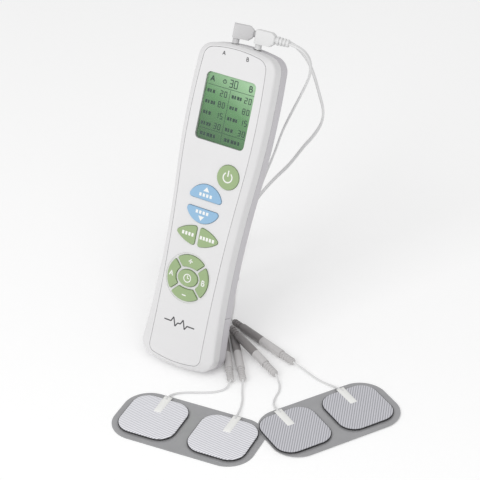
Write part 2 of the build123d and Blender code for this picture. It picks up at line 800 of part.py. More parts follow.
with BuildPart() as pin_handles:
    for ends in connectors:
        with BuildSketch(along_connector(ends, 0)):
            Circle(handle_end / 2 - 0.5)
        extrude(amount=rear_relief)
        for rib in range(4):
            with BuildSketch(along_connector(ends, 1.0 + 2.1 * rib)):
                Circle(handle_end / 2)
            extrude(amount=1.2)
        with BuildSketch(along_connector(ends, rear_relief)):
            Circle(handle_diameter / 2)
        extrude(amount=handle_split - rear_relief)

with BuildPart() as pin_contacts:
    for ends in connectors:
        with BuildSketch(along_connector(ends, handle_split)):
            Circle(1.0)
        extrude(amount=10.0)

with BuildPart() as pigtail_sockets:
    for ends in connectors:
        reach = (ends[1] - ends[0]).length
        with BuildSketch(along_connector(ends, handle_split + 0.1)):
            Circle(handle_diameter / 2)
        extrude(amount=reach - front_relief - handle_split - 0.1)
        with BuildSketch(along_connector(ends, -front_relief)):
            Circle(handle_end / 2 - 0.3)
        extrude(amount=front_relief)
        for rib in range(5):
            with BuildSketch(along_connector(ends, -front_relief + 0.9 + 2.0 * rib)):
                Circle(handle_end / 2)
            extrude(amount=1.2)
        with BuildSketch(along_connector(ends, handle_split)):
            Circle(1.05)
        extrude(amount=10.5, mode=Mode.SUBTRACT)

pigtail_routes = {
    "pigtail_1": on_table([
        (34.5, -21.2, 2.8), (33.3, -27.2, 1.3), (26.0, -31.0, 0.75), (17.0, -31.5, 0.75), (8.5, -31.2, 0.75),
        (1.0, -32.2, 0.9), (-3.4, -35.7, 1.8), (-5.2, -41.0, 2.9),
    ]),
    "pigtail_2": on_table([
        (42.2, -20.8, 2.8), (41.6, -29.5, 1.0), (42.0, -38.5, 0.75), (40.9, -46.5, 0.9), (39.3, -53.5, 1.8),
        (37.3, -60.3, 2.9),
    ]),
    "pigtail_3": on_table([
        (62.7, -15.3, 2.8), (65.2, -21.8, 1.2), (65.1, -29.4, 0.75), (62.0, -36.6, 0.75), (60.7, -43.6, 1.2),
        (62.4, -49.9, 2.3), (65.3, -54.5, 3.3),
    ]),
    "pigtail_4": on_table([
        (74.1, -2.6, 2.8), (81.5, -9.4, 1.2), (88.0, -17.2, 0.75), (94.6, -23.2, 1.0), (100.4, -27.9, 2.1),
        (104.3, -32.9, 3.3),
    ]),
}
pigtails = {tail_name: cord(tail_name, route, pigtail_width) for tail_name, route in pigtail_routes.items()}

# ================================ pads on their liner cards =======================================
cards = [
    {"turn": -24.4, "lift": 0.0, "length": 93.0, "slide": 0.0, "pads": [(-12.3, -56.7), (30.1, -75.9)]},
    {"turn": 29.2, "lift": liner_thick + 0.05, "length": 88.0, "slide": 2.0,
     "pads": [(73.7, -69.1), (112.6, -47.4)]},
]
liner_width = 47.0
liner_corner = 17.0


def card_plane(card, place, height):
    angle = radians(card["turn"])
    return Plane(origin=Vector(*place, card["lift"] + height) + table_shift, x_dir=(cos(angle), sin(angle), 0))


liners = {}
for liner_name, card in zip(("liner_card_left", "liner_card_right"), cards):
    middle = [(first + second) / 2 for first, second in zip(*card["pads"])]
    with BuildPart() as liner:
        with BuildSketch(card_plane(card, middle, 0)):
            with Locations((card["slide"], 0)):
                RectangleRounded(card["length"], liner_width, liner_corner)
        extrude(amount=liner_thick)
    liners[liner_name] = liner

layers = {}
layer_base = liner_thick
for layer_name, thick, margin in (
    ("pad_gels", gel_thick, 0.6), ("pad_films", film_thick, 0.0), ("pad_covers", cover_thick, 0.5),
):
    with BuildPart() as layer:
        for card in cards:
            for place in card["pads"]:
                with BuildSketch(card_plane(card, place, layer_base)):
                    RectangleRounded(pad_side - 2 * margin, pad_side - 2 * margin, pad_corner - margin)
                extrude(amount=thick)
    layers[layer_name] = layer
    layer_base += thick

for name, piece in {
    "front_shell": front_shell,
    "face_plate": face_plate,
    "rear_shell": rear_shell,
    "battery_door": battery_door,
    "display_lens": display_lens,
    "lcd_panel": lcd_panel,
    "backlight_panel": backlight_panel,
    "key_mat": key_mat,
    "circuit_board": circuit_board,
    "jack_socket_a": jack_socket_a,
    "jack_socket_b": jack_socket_b,
    "output_transformers": output_transformers,
    "board_chips": board_chips,
    "buzzer": buzzer,
    "board_screws": board_screws,
    "case_screws": case_screws,
    "battery_tray": battery_tray,
    "batteries": batteries,
    "battery_contacts": battery_contacts,
    "battery_springs": battery_springs,
    "rear_stand": rear_stand,
    "stand_pin": stand_pin,
    "plug_a": plug_a,
    "plug_b": plug_b,
    "plug_pin_a": plug_pin_a,
    "plug_pin_b": plug_pin_b,
    "lead_a": lead_a,
    "lead_b": lead_b,
    "coil_ties": coil_ties,
    "lead_yokes": lead_yokes,
    "pin_handles": pin_handles,
    "pin_contacts": pin_contacts,
    "pigtail_sockets": pigtail_sockets,
    **keys,
    **coils,
    **wires,
    **pigtails,
    **liners,
    **layers,
}.items():
    save(piece, name)
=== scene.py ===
"""Looks of the TENS unit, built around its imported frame: materials, screen, legends, leads, pads, studio."""

import json
from math import cos, radians, sin

import bmesh
import bpy
from mathutils import Matrix, Vector


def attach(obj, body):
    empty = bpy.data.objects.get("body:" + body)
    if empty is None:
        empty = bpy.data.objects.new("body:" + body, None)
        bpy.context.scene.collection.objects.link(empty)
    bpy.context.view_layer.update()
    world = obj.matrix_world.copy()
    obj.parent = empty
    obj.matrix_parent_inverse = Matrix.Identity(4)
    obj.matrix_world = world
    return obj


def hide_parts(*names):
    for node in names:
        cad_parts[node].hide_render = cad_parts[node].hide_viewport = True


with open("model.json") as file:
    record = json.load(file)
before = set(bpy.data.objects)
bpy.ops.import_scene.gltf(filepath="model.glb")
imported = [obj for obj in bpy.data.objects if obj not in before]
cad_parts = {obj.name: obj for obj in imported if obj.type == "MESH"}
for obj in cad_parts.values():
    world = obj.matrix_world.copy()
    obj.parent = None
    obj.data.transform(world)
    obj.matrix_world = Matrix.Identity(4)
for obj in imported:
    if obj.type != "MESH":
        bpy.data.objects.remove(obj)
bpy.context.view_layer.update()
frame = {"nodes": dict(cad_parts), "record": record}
scene = bpy.context.scene

# ---- directions of the leaning handset, as in the CAD model (metres) -------------------------------
TURN, LEAN = radians(-32.0), radians(22.5)
LENGTH, THICKNESS, SEAM, FOOT_FILLET = 0.206, 0.023, 0.01075, 0.012
TABLE_SHIFT = Vector((-0.0505, 0.00847, 0))
ACROSS = Vector((cos(TURN), sin(TURN), 0))
BEHIND = Vector((-sin(TURN), cos(TURN), 0))
UP = Vector((0, 0, 1))
ALONG = BEHIND * sin(LEAN) + UP * cos(LEAN)
OUTWARD = UP * sin(LEAN) - BEHIND * cos(LEAN)
CONTACT = Vector((0.0051, 0.0029, 0)) + TABLE_SHIFT
FACE = CONTACT + UP * FOOT_FILLET - ALONG * FOOT_FILLET + OUTWARD * (THICKNESS - FOOT_FILLET)


def spot(u, v, depth=0.0):
    """Point of the handset, from millimetres across, along and below its face."""
    return FACE + (ACROSS * u + ALONG * v - OUTWARD * depth) / 1000


def table_point(x, y, z):
    """Point of the layout on the table, from millimetres."""
    return Vector((x, y, z)) / 1000 + TABLE_SHIFT


def spot_matrix(u, v, depth=0.0):
    """Local x across, y along, z outward."""
    matrix = Matrix.Identity(4)
    for column, direction in enumerate((ACROSS, ALONG, OUTWARD)):
        for row in range(3):
            matrix[row][column] = direction[row]
    matrix.translation = spot(u, v, depth)
    return matrix


# ==================================== materials ======================================================
def new_material(name):
    """A material with its node list, its link list and its shader."""
    material = bpy.data.materials.new(name)
    material.use_nodes = True
    nodes, links = material.node_tree.nodes, material.node_tree.links
    return material, nodes, links, nodes["Principled BSDF"]


def noise_texture(nodes, links, scale):
    """Noise laid out in the object's own coordinates."""
    place = nodes.new("ShaderNodeTexCoord")
    noise = nodes.new("ShaderNodeTexNoise")
    noise.inputs["Scale"].default_value = scale
    links.new(place.outputs["Object"], noise.inputs["Vector"])
    return noise


def mottled(nodes, links, shader, color, other, scale):
    """Colour that wanders between two close colours."""
    noise = noise_texture(nodes, links, scale)
    noise.inputs["Detail"].default_value = 4
    mix = nodes.new("ShaderNodeMix")
    mix.data_type = "RGBA"
    mix.inputs["A"].default_value = (*color, 1)
    mix.inputs["B"].default_value = (*other, 1)
    links.new(noise.outputs["Fac"], mix.inputs["Factor"])
    links.new(mix.outputs["Result"], shader.inputs["Base Color"])


def grain(nodes, links, shader, scale, strength, distance):
    """Fine bumps all over the surface."""
    noise = noise_texture(nodes, links, scale)
    noise.inputs["Detail"].default_value = 3
    bump = nodes.new("ShaderNodeBump")
    bump.inputs["Strength"].default_value = strength
    bump.inputs["Distance"].default_value = distance
    links.new(noise.outputs["Fac"], bump.inputs["Height"])
    links.new(bump.outputs["Normal"], shader.inputs["Normal"])


def roughness_range(nodes, links, shader, low, high, scale):
    """Gloss that varies from place to place."""
    noise = noise_texture(nodes, links, scale)
    spread = nodes.new("ShaderNodeMapRange")
    spread.inputs["To Min"].default_value = low
    spread.inputs["To Max"].default_value = high
    links.new(noise.outputs["Fac"], spread.inputs["Value"])
    links.new(spread.outputs["Result"], shader.inputs["Roughness"])


def moulded(name, color, other, rough, scale=2600, strength=0.12, distance=0.00004, coat=0.0):
    """A moulded plastic or rubber with fine grain, faint mottling and uneven gloss."""
    material, nodes, links, shader = new_material(name)
    mottled(nodes, links, shader, color, other, 60)
    grain(nodes, links, shader, scale, strength, distance)
    roughness_range(nodes, links, shader, rough - 0.06, rough + 0.08, 140)
    shader.inputs["Coat Weight"].default_value = coat
    shader.inputs["Coat Roughness"].default_value = 0.25
    return material


def metal(name, color, rough):
    """Bright bare metal."""
    material, nodes, links, shader = new_material(name)
    mottled(nodes, links, shader, color, [value * 0.85 for value in color], 300)
    grain(nodes, links, shader, 4000, 0.1, 0.00002)
    roughness_range(nodes, links, shader, rough, rough + 0.15, 500)
    shader.inputs["Metallic"].default_value = 1
    return material


# The screen's colour ramp is painted light: the green is drawn paler towards the upper right.
SCREEN_SLANT = 0.45  # share of the across direction in the screen's colour ramp, beside 1 of the along
SCREEN_REACH = 0.027  # metres from the screen's middle to either end of the ramp


def screen_material():
    """Green liquid crystal, paler towards its upper right: painted light across the screen."""
    material, nodes, links, shader = new_material("lcd_green")
    place = nodes.new("ShaderNodeTexCoord")
    split = nodes.new("ShaderNodeSeparateXYZ")
    links.new(place.outputs["Object"], split.inputs["Vector"])
    total = nodes.new("ShaderNodeMath")
    total.operation = "MULTIPLY_ADD"
    total.inputs[1].default_value = SCREEN_SLANT
    links.new(split.outputs["X"], total.inputs[0])
    links.new(split.outputs["Y"], total.inputs[2])
    spread = nodes.new("ShaderNodeMapRange")
    spread.inputs["From Min"].default_value = -SCREEN_REACH
    spread.inputs["From Max"].default_value = SCREEN_REACH
    links.new(total.outputs["Value"], spread.inputs["Value"])
    # Dark green to pale green; the paler end is painted light on the screen.
    ramp = nodes.new("ShaderNodeValToRGB")
    stops = ramp.color_ramp.elements
    stops[0].color = (0.065, 0.18, 0.070, 1)
    stops[1].color = (0.50, 0.78, 0.48, 1)
    middle = stops.new(0.55)
    middle.color = (0.15, 0.37, 0.15, 1)
    links.new(spread.outputs["Result"], ramp.inputs["Fac"])
    links.new(ramp.outputs["Color"], shader.inputs["Base Color"])
    grain(nodes, links, shader, 3000, 0.05, 0.00002)
    shader.inputs["Roughness"].default_value = 0.3
    return material


def window_material():
    """Clear window: transparent, with gloss at its surface."""
    material, nodes, links, shader = new_material("clear_lens")
    clear = nodes.new("ShaderNodeBsdfTransparent")
    fresnel = nodes.new("ShaderNodeFresnel")
    fresnel.inputs["IOR"].default_value = 1.35
    mix = nodes.new("ShaderNodeMixShader")
    shader.inputs["Roughness"].default_value = 0.12
    grain(nodes, links, shader, 300, 0.05, 0.00003)
    links.new(fresnel.outputs["Fac"], mix.inputs["Fac"])
    links.new(clear.outputs["BSDF"], mix.inputs[1])
    links.new(shader.outputs["BSDF"], mix.inputs[2])
    links.new(mix.outputs["Shader"], nodes["Material Output"].inputs["Surface"])
    return material


def woven_material(name, valley, crest):
    """Silvery woven cloth with fine diagonal ribs."""
    material, nodes, links, shader = new_material(name)
    heights = []
    for turn, scale in ((radians(38), 215), (radians(-52), 420)):
        place = nodes.new("ShaderNodeTexCoord")
        mapping = nodes.new("ShaderNodeMapping")
        mapping.inputs["Rotation"].default_value = (0, 0, turn)
        wave = nodes.new("ShaderNodeTexWave")
        wave.inputs["Scale"].default_value = scale
        wave.inputs["Distortion"].default_value = 0.6
        wave.inputs["Detail Scale"].default_value = 3
        links.new(place.outputs["Object"], mapping.inputs["Vector"])
        links.new(mapping.outputs["Vector"], wave.inputs["Vector"])
        heights.append(wave)
    ribs = nodes.new("ShaderNodeMath")
    ribs.operation = "MULTIPLY_ADD"
    ribs.inputs[1].default_value = 0.35
    links.new(heights[1].outputs["Fac"], ribs.inputs[0])
    links.new(heights[0].outputs["Fac"], ribs.inputs[2])
    mix = nodes.new("ShaderNodeMix")
    mix.data_type = "RGBA"
    mix.inputs["A"].default_value = (*valley, 1)
    mix.inputs["B"].default_value = (*crest, 1)
    links.new(ribs.outputs["Value"], mix.inputs["Factor"])
    links.new(mix.outputs["Result"], shader.inputs["Base Color"])
    bump = nodes.new("ShaderNodeBump")
    bump.inputs["Strength"].default_value = 0.6
    bump.inputs["Distance"].default_value = 0.00015
    links.new(ribs.outputs["Value"], bump.inputs["Height"])
    links.new(bump.outputs["Normal"], shader.inputs["Normal"])
    shader.inputs["Roughness"].default_value = 0.6
    shader.inputs["Sheen Weight"].default_value = 0.3
    return material


materials = {
    "case_white": moulded("case_white", (0.72, 0.715, 0.72), (0.75, 0.745, 0.75), 0.36),
    # The case sides get a darker copy of the case white: painted shade on the sides.
    "case_side": moulded("case_side", (0.55, 0.535, 0.56), (0.59, 0.575, 0.60), 0.40),
    "clear_lens": window_material(),
    "lcd_green": moulded("lcd_glass", (0.10, 0.27, 0.10), (0.12, 0.31, 0.12), 0.3),
    "inner_white": moulded("inner_white", (0.70, 0.70, 0.66), (0.75, 0.75, 0.70), 0.6),
    "key_rubber": moulded("key_rubber", (0.55, 0.55, 0.54), (0.60, 0.60, 0.58), 0.7),
    "board_green": moulded("board_green", (0.02, 0.13, 0.05), (0.03, 0.17, 0.07), 0.4),
    "dark_plastic": moulded("dark_plastic", (0.02, 0.02, 0.025), (0.035, 0.035, 0.04), 0.5),
    "steel": metal("steel", (0.62, 0.62, 0.61), 0.25),
    "cell_wrap": moulded("cell_wrap", (0.03, 0.03, 0.04), (0.05, 0.05, 0.06), 0.3),
    "plug_grey": moulded("plug_grey", (0.58, 0.575, 0.58), (0.64, 0.635, 0.64), 0.5),
    "plug_white": moulded("plug_white", (0.70, 0.70, 0.70), (0.75, 0.75, 0.75), 0.48),
    "lead_white": moulded("lead_white", (0.68, 0.68, 0.68), (0.76, 0.76, 0.76), 0.45, scale=900, strength=0.2),
    "connector_grey": moulded("connector_grey", (0.21, 0.20, 0.20), (0.27, 0.255, 0.25), 0.42),
    "liner_film": moulded("liner_film", (0.28, 0.28, 0.29), (0.38, 0.38, 0.39), 0.22,
                          scale=400, strength=0.3, distance=0.0002, coat=0.5),
    "gel": moulded("gel", (0.03, 0.03, 0.03), (0.05, 0.05, 0.05), 0.25),
    "carbon_black": moulded("carbon_black", (0.012, 0.012, 0.013), (0.022, 0.022, 0.024), 0.6),
    "pad_fabric": woven_material("pad_fabric", (0.38, 0.38, 0.42), (0.90, 0.90, 0.94)),
    "key_green": moulded("key_green", (0.30, 0.41, 0.205), (0.34, 0.45, 0.235), 0.5, scale=1800, strength=0.2),
    "key_blue": moulded("key_blue", (0.265, 0.455, 0.65), (0.305, 0.50, 0.70), 0.5, scale=1800, strength=0.2),
}
screen_green = screen_material()
# Darker copy of the pad cloth for the two right-hand pads: painted shade.
painted_shade_weave = woven_material("pad_fabric_painted_shade", (0.27, 0.27, 0.30), (0.62, 0.62, 0.66))
legend_white = moulded("legend_white", (0.82, 0.82, 0.80), (0.88, 0.88, 0.86), 0.5)
legend_dark = moulded("legend_dark", (0.06, 0.06, 0.065), (0.09, 0.09, 0.095), 0.5)
segment_dark = moulded("segment_dark", (0.016, 0.055, 0.040), (0.022, 0.070, 0.050), 0.5)
socket_grey = moulded("socket_grey", (0.52, 0.51, 0.51), (0.60, 0.585, 0.58), 0.42)

slots = {entry["node"]: entry["material_slot"] for entry in frame["record"]["subparts"]}


def paint(piece, material):
    """Give the whole piece that material."""
    if not piece.material_slots:
        piece.data.materials.append(material)
    for holder in piece.material_slots:
        holder.link = "OBJECT"
        holder.material = material


for node_name, piece in frame["nodes"].items():
    paint(piece, socket_grey if node_name == "pigtail_sockets" else materials[slots[node_name]])
    piece.data.shade_smooth()
    piece.data.set_sharp_from_angle(angle=radians(28))


# ==================================== mesh helpers ===================================================
def piece_from(name, mesh, body, material, matrix=None):
    """A piece made of that mesh, which rides on that body."""
    piece = bpy.data.objects.new(name, mesh)
    scene.collection.objects.link(piece)
    if matrix is not None:
        piece.matrix_world = matrix
    paint(piece, material)
    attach(piece, body)
    return piece


def plate(name, outlines, matrix, body, material, thick=0.00006):
    """Flat marks: each outline is a closed list of points in millimetres, made thick along local z."""
    bm = bmesh.new()
    for outline in outlines:
        lower = [bm.verts.new((x / 1000, y / 1000, 0)) for x, y in outline]
        upper = [bm.verts.new((x / 1000, y / 1000, thick)) for x, y in outline]
        bm.faces.new(upper)
        bm.faces.new(lower[::-1])
        for i in range(len(outline)):
            j = (i + 1) % len(outline)
            bm.faces.new((lower[i], lower[j], upper[j], upper[i]))
    bmesh.ops.recalc_face_normals(bm, faces=bm.faces)
    mesh = bpy.data.meshes.new(name)
    bm.to_mesh(mesh)
    bm.free()
    return piece_from(name, mesh, body, material, matrix)


def bar(x, y, width, height):
    """Outline of a rectangle from its lower left corner."""
    return [(x, y), (x + width, y), (x + width, y + height), (x, y + height)]


def bars(x, y, pitch, width, height, count):
    """A row of equal bars."""
    return [bar(x + pitch * i, y, width, height) for i in range(count)]


def stroke(start, end, width):
    """A straight stroke of that width between two points."""
    a, b = Vector(start), Vector(end)
    side = (b - a).normalized().orthogonal() * width / 2
    return [tuple(a + side), tuple(a - side), tuple(b - side), tuple(b + side)]


def ring_strokes(radius, width, start, end, count, center=(0, 0)):
    """An arc from one angle to another, in degrees, as a chain of strokes."""
    points = []
    for step in range(count + 1):
        angle = radians(start + (end - start) * step / count)
        points.append((center[0] + radius * cos(angle), center[1] + radius * sin(angle)))
    return [stroke(a, b, width) for a, b in zip(points, points[1:])]


LETTERS = {
    "A": [((0, 0), (0.4, 1)), ((0.4, 1), (0.8, 0)), ((0.15, 0.35), (0.65, 0.35))],
    "B": [((0.1, 0), (0.1, 1)), ((0.1, 1), (0.55, 0.95)), ((0.55, 0.95), (0.55, 0.55)),
          ((0.1, 0.52), (0.6, 0.52)), ((0.66, 0.5), (0.66, 0.05)), ((0.1, 0.0), (0.62, 0.0))],
    "+": [((0.1, 0.5), (0.9, 0.5)), ((0.5, 0.1), (0.5, 0.9))],
    "-": [((0.1, 0.5), (0.9, 0.5))],
}


def letter(sign, x, y, size, width):
    """A letter or sign from its lower left corner."""
    return [stroke((x + a[0] * size, y + a[1] * size), (x + b[0] * size, y + b[1] * size), width)
            for a, b in LETTERS[sign]]


DIGITS = {"0": "abcdef", "2": "abged", "3": "abgcd", "5": "afgcd", "8": "abcdefg", "1": "bc"}
SEGMENTS = {"a": ((0, 2), (1, 2)), "b": ((1, 2), (1, 1)), "c": ((1, 1), (1, 0)), "d": ((0, 0), (1, 0)),
            "e": ((0, 1), (0, 0)), "f": ((0, 2), (0, 1)), "g": ((0, 1), (1, 1))}


def digit(sign, x, y, height, width):
    """A seven-segment digit, a little narrower than half its height."""
    half = height / 2
    segments = []
    for name in DIGITS[sign]:
        (ax, ay), (bx, by) = SEGMENTS[name]
        start = (x + ax * half * 0.95, y + ay * half)
        end = (x + bx * half * 0.95, y + by * half)
        segments.append(stroke(start, end, width))
    return segments


# ==================================== display ========================================================
WINDOW_U, WINDOW_V = 0.4, 166.0
HALF_W, HALF_H, CORNER = 17.55, 21.0, 2.9
SCREEN_HEIGHT = 2 * HALF_H
# depths are millimetres below the face, thicknesses are metres
WINDOW_DEPTH, WINDOW_THICK = 0.9, 0.0006
SCREEN_DEPTH, SCREEN_THICK = 2.55, 0.0007
MARKS_DEPTH, MARKS_THICK = 1.84, 0.00005


def rounded(half_w, half_h, corner, steps=8):
    """Outline of a rectangle with round corners, about its middle."""
    points = []
    for turn, sx, sy in ((0, 1, 1), (90, -1, 1), (180, -1, -1), (270, 1, -1)):
        for step in range(steps + 1):
            angle = radians(turn + 90 * step / steps)
            x = sx * (half_w - corner) + corner * cos(angle)
            y = sy * (half_h - corner) + corner * sin(angle)
            points.append((x, y))
    return points


window_outline = rounded(HALF_W, HALF_H, CORNER)
lens = plate("display_window", [window_outline], spot_matrix(WINDOW_U, WINDOW_V, WINDOW_DEPTH), "base",
             materials["clear_lens"], WINDOW_THICK)
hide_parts("display_lens")
plate("screen_face", [window_outline], spot_matrix(WINDOW_U, WINDOW_V, SCREEN_DEPTH), "base",
      screen_green, SCREEN_THICK)
# two rules split the screen into a head, four rows of values and a foot
top_line, low_line = HALF_H - 0.19 * SCREEN_HEIGHT, HALF_H - 0.84 * SCREEN_HEIGHT
marks = [bar(-HALF_W + 0.6, top_line, 34, 0.28), bar(-HALF_W + 0.6, low_line, 34, 0.28),
         bar(-0.12, low_line, 0.28, top_line - low_line), bar(-0.12, -HALF_H + 0.8, 0.28, 5.6)]
marks += letter("A", -15.2, 15.2, 3.4, 0.7) + letter("B", 12.2, 15.2, 3.4, 0.7)
marks += digit("3", -1.6, 14.6, 4.4, 0.6) + digit("0", 1.8, 14.6, 4.4, 0.6)
marks += ring_strokes(1.1, 0.5, 0, 360, 12, (-5.2, 17.0)) + [stroke((-5.2, 17.0), (-5.2, 18.4), 0.4)]
row_height = (top_line - low_line) / 4
for row in range(4):
    base = top_line - (row + 1) * row_height + 1.6
    for side in (-1, 1):
        start = -16.0 if side < 0 else 1.5
        for block, width in enumerate((1.5, 1.1, 1.6, 1.2)[: 3 + (row + (side > 0)) % 2]):
            marks.append(bar(start + block * 1.95, base + 0.4, width, 2.1))
        value = (("2", "0"), ("8", "0"), ("1", "5"), ("3", "0"))[row]
        for place, sign in enumerate(value):
            marks += digit(sign, start + 9.4 + place * 2.9, base - 0.1, 3.3, 0.5)
for start in (-15.2, 2.3):
    for block, width in enumerate((1.8, 1.4, 2.0, 1.6, 1.3)):
        marks.append(bar(start + block * 2.4, -HALF_H + 2.3, width, 2.2))
plate("screen_marks", marks, spot_matrix(WINDOW_U, WINDOW_V, MARKS_DEPTH), "base", segment_dark,
      MARKS_THICK)

# ==================================== legends ========================================================
KEY_TOP = -0.9  # the keys stand proud of the face
RING_U, RING_V = -1.3, 58.0  # middle of the ring of keys


def legend(name, outlines, body):
    """White marks on top of a key, which move with it."""
    plate(name, outlines, spot_matrix(0, 0, KEY_TOP), body, legend_white, 0.00005)


power_bar = [stroke((12, 127.6), (12, 131.4), 0.8)]
legend("legend_power", ring_strokes(3.1, 0.8, 125, 415, 18, (12, 127)) + power_bar, "button_power")
legend("legend_mode_up", [[(-2.6, 114.4), (1.6, 114.4), (-0.5, 117.3)]] + bars(-5.0, 111.0, 2.5, 1.6, 2.0, 4),
       "button_mode_up")
legend("legend_mode_down", [[(-2.6, 98.6), (-0.5, 95.7), (1.6, 98.6)]] + bars(-5.0, 100.0, 2.5, 1.6, 2.0, 4),
       "button_mode_down")
legend("legend_weak", bars(-11.5, 84.5, 2.3, 1.5, 2.2, 4), "button_weak")
legend("legend_strong", bars(1.6, 84.5, 2.2, 1.5, 2.2, 5), "button_strong")
legend("legend_speed_up", letter("+", RING_U - 1.8, RING_V + 9.2, 3.6, 0.7), "button_speed_up")
legend("legend_speed_down", letter("-", RING_U - 1.8, RING_V - 12.9, 3.6, 0.7), "button_speed_down")
legend("legend_channel_a", letter("A", RING_U - 13.2, RING_V - 1.5, 3.2, 0.65), "button_channel_a")
legend("legend_channel_b", letter("B", RING_U + 10.4, RING_V - 1.5, 3.2, 0.65), "button_channel_b")
clock_hands = [stroke((RING_U, RING_V), (RING_U, RING_V + 1.8), 0.5),
               stroke((RING_U, RING_V), (RING_U + 1.3, RING_V), 0.5)]
legend("legend_time", ring_strokes(2.5, 0.6, 0, 360, 18, (RING_U, RING_V)) + clock_hands, "button_time")
pulse = [(-12.0, 28), (-7, 28), (-5.5, 31), (-3.5, 25.4), (-2, 28), (0, 28), (1.5, 31), (3.5, 25.4), (5, 28),
         (10.4, 28)]
plate("pulse_mark", [stroke(a, b, 0.8) for a, b in zip(pulse, pulse[1:])], spot_matrix(0, 0, -0.01), "base",
      legend_dark, 0.00004)
for name, u in (("a", -9.2), ("b", 7.6)):
    plate("jack_mark_" + name, letter(name.upper(), u, 198.9, 2.3, 0.45), spot_matrix(0, 0, -0.01), "base",
          legend_dark, 0.00004)


# ==================================== leads ==========================================================
def lead_curve(name, points, profile, body, slot, material, *nodes):
    """A cord through those points, round where its profile is a radius, in place of those nodes."""
    curve = bpy.data.curves.new(name, "CURVE")
    curve.dimensions = "3D"
    curve.resolution_u = 6
    curve.bevel_resolution = 5
    curve.use_fill_caps = True
    if isinstance(profile, float):
        curve.bevel_depth = profile
    else:
        curve.bevel_mode = "OBJECT"
        curve.bevel_object = profile
    spline = curve.splines.new("NURBS")
    spline.points.add(len(points) - 1)
    for point, place in zip(spline.points, points):
        point.co = (*place, 1)
    spline.order_u = 3
    spline.use_endpoint_u = True
    piece = bpy.data.objects.new(name, curve)
    scene.collection.objects.link(piece)
    paint(piece, material)
    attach(piece, body)
    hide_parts(*nodes)
    return piece


def twin_profile(width):
    """Two round wires side by side, in one jacket."""
    lobe = width * 0.26
    offset = width / 2 - lobe
    outline = [(sign * offset + lobe * cos(radians(angle)), lobe * sin(radians(angle)))
               for sign, start in ((1, -155), (-1, 25)) for angle in range(start, start + 311, 31)]
    curve = bpy.data.curves.new("twin_profile", "CURVE")
    curve.dimensions = "2D"
    spline = curve.splines.new("POLY")
    spline.points.add(len(outline) - 1)
    for point, (x, y) in zip(spline.points, outline):
        point.co = (x, y, 0, 1)
    spline.use_cyclic_u = True
    shape = bpy.data.objects.new("twin_profile", curve)
    scene.collection.objects.link(shape)
    shape.hide_render = True
    shape.hide_viewport = True
    return shape


COIL_RADIUS, COIL_PITCH, COIL_HEIGHT = 0.0165, 0.00315, 0.00475
COIL_START, COIL_SWEEP = -97.0, 2415.0


def coil_turns(center, radius, pitch, start_angle, total):
    """Turns of a wound bundle, from its top middle inwards, down, and out at its lower outside."""
    places = [(0, 1), (-1, 1), (-1, 0), (-1, -1), (0, -1), (0, 0), (1, 0), (1, -1)]
    shift_arc, step = 30.0, 15.0
    turn_arc = 360.0 - shift_arc
    points, travelled = [], 0.0
    while travelled <= total:
        index = min(int(travelled // turn_arc), len(places) - 1)
        along_turn = travelled - index * turn_arc
        blend = min(max((along_turn - turn_arc + shift_arc) / shift_arc, 0), 1)
        here, there = places[index], places[min(index + 1, len(places) - 1)]
        reach = radius + pitch * (here[0] + (there[0] - here[0]) * blend)
        level = COIL_HEIGHT + pitch * (here[1] + (there[1] - here[1]) * blend)
        angle = radians(start_angle - travelled)
        points.append(Vector((center[0] + reach * cos(angle), center[1] + reach * sin(angle), level)))
        travelled += step
    return points


JACK_OFFSET, PLUG_RISE, PLUG_REACH = 8.0, 8.0, 0.0188


def plug_exit(side, swing):
    """Where the lead leaves a plug that is swung round by that many degrees."""
    pointing = ACROSS * cos(radians(swing)) - OUTWARD * sin(radians(swing))
    return spot(side * JACK_OFFSET, LENGTH * 1000 + PLUG_RISE, SEAM * 1000) + pointing * PLUG_REACH


lead_a_points = [plug_exit(-1, 31.0)] + [table_point(*point) for point in (
    (66.0, 70.6, 193.4), (74.5, 68.6, 190.6), (81.7, 67.1, 182.0), (85.9, 67.0, 171.3), (89.8, 69.0, 156.0),
    (92.9, 71.3, 143.0), (92.0, 75.0, 132.5), (87.5, 80.5, 120.5), (81.3, 87.0, 108.8), (72.9, 97.0, 89.3),
    (63.3, 107.0, 72.8), (54.5, 115.5, 56.0), (47.5, 120.0, 41.0), (40.5, 122.2, 28.5), (32.5, 122.9, 18.5),
    (24.0, 122.8, 11.0),
)]
lead_b_points = [plug_exit(1, 12.0)] + [table_point(*point) for point in (
    (76.8, 54.7, 196.0), (82.3, 53.2, 189.7), (83.6, 54.2, 180.5), (81.0, 57.5, 169.5), (73.5, 64.0, 148.8),
    (66.9, 71.0, 129.2), (62.8, 77.5, 110.5), (56.6, 85.0, 88.5), (50.5, 89.0, 66.0), (44.0, 88.7, 47.0),
    (36.5, 85.5, 30.5), (27.5, 80.0, 18.0), (18.0, 76.2, 11.0),
)]
LEAD_WIDTH = 0.003
lead_shape = twin_profile(LEAD_WIDTH)
for name, points, center, yoke in (
    ("a", lead_a_points, (18.0, 139.0), (38.3, 127.2)), ("b", lead_b_points, (10.0, 92.0), (30.4, 80.2)),
):
    middle = table_point(*center, 0)
    points = points + coil_turns(middle, COIL_RADIUS, COIL_PITCH, COIL_START, COIL_SWEEP)
    points += [table_point(yoke[0] - 0.4, yoke[1] + 6, 1.6), table_point(*yoke, 1.7)]
    lead = lead_curve("twin_lead_" + name, points, lead_shape, "base", "lead_white", materials["lead_white"],
                      "lead_" + name, "lead_coil_" + name)

